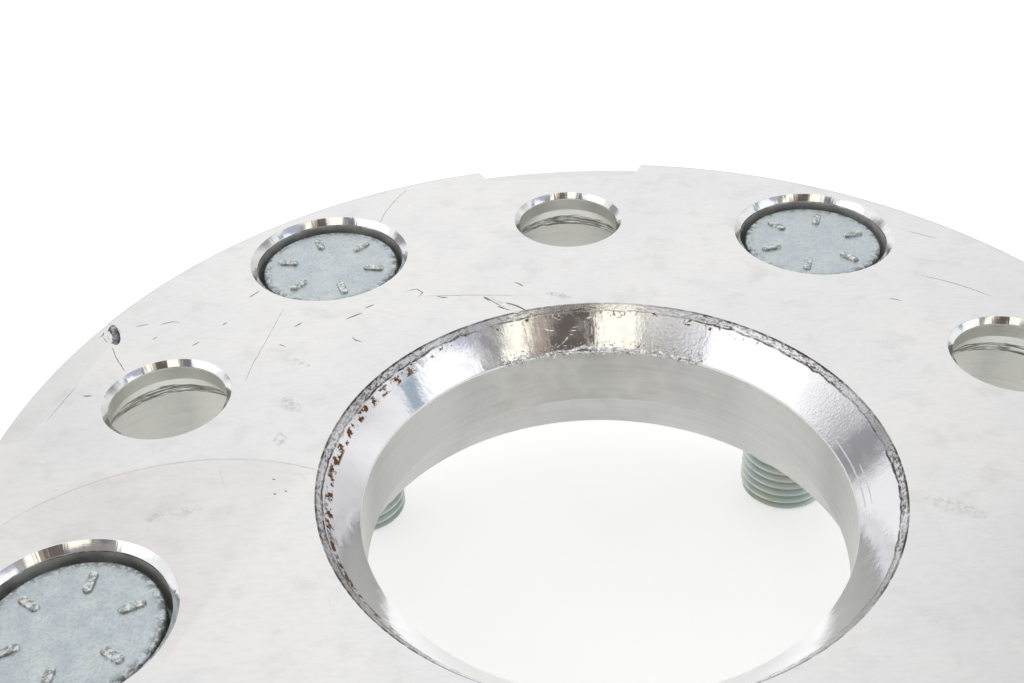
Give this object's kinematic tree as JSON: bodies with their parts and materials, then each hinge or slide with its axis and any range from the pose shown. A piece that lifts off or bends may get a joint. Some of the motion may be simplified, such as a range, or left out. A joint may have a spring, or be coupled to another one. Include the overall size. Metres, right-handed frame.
{
  "type": "wheel spacer",
  "caption": "Thick machined aluminium wheel spacer: a disc with a chamfered centre bore, bolt clearance holes with cone seats, and pressed-in wheel studs pointing to the wheel side.",
  "frame": {"origin": "On the centre bore's axis, at the level of the stud ends, which is the surface that the spacer stands on.", "axes": "+Z runs along the bore from the stud ends to the hub-side face. +Y runs from the bore through the centre of one clearance hole and the rim recess beside it. X completes the right-handed frame."},
  "size_m": [0.1458, 0.1458, 0.0496],
  "materials": {
    "machined_aluminium": "turned and lightly scratched, with polished chamfers",
    "zinc_plated_steel": "satin zinc plating, worn at the edges"
  },
  "bodies": {
    "root": {"adaptor_disc": "machined_aluminium", "stud_1": "zinc_plated_steel", "stud_2": "zinc_plated_steel", "stud_3": "zinc_plated_steel", "stud_4": "zinc_plated_steel", "stud_5": "zinc_plated_steel"}
  },
  "joints": []
}
